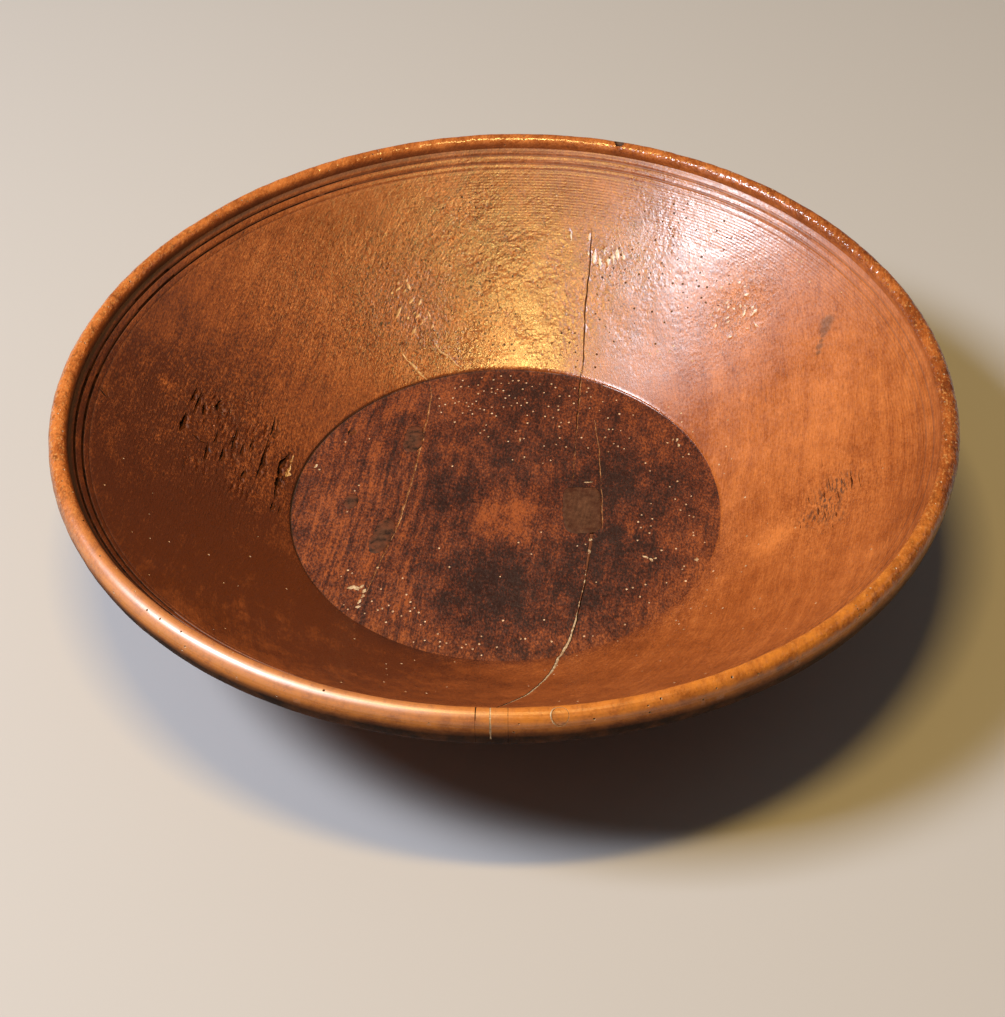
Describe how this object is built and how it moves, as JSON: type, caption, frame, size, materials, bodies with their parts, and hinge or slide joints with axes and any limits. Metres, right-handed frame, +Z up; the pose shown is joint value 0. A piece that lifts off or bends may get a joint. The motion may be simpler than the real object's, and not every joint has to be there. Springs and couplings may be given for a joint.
{
  "type": "dairy bowl",
  "caption": "Wide shallow turned wooden dairy bowl with a flat floor, sloping wall, rounded rim and old let-in repairs; holds milk, cream or butter.",
  "frame": {"origin": "centre of the flat base, on the surface that the bowl stands on", "axes": "+Z up along the turning axis, +Y to the back of the bowl as pictured, +X to its right; the grain and the split run near +Y"},
  "size_m": [0.4198, 0.42, 0.0943],
  "materials": {
    "bowl_wood": "turned sycamore, waxed and worn, honey to red-brown",
    "patch_wood": "smooth grey-brown let-in patch",
    "pale_filling": "pale dry putty rubbed into the split",
    "dark_stopping": "dark wax stopping, dull",
    "rim_wood": "waxed wood, a little yellower than the bowl"
  },
  "bodies": {
    "root": {"bowl_body": "bowl_wood", "floor_patch": "patch_wood", "split_filling": "pale_filling", "shake_stopping_back": "dark_stopping", "shake_stopping_front": "dark_stopping", "shake_stopping_side": "dark_stopping", "rim_patch": "rim_wood", "rim_peg": "rim_wood"}
  },
  "joints": []
}
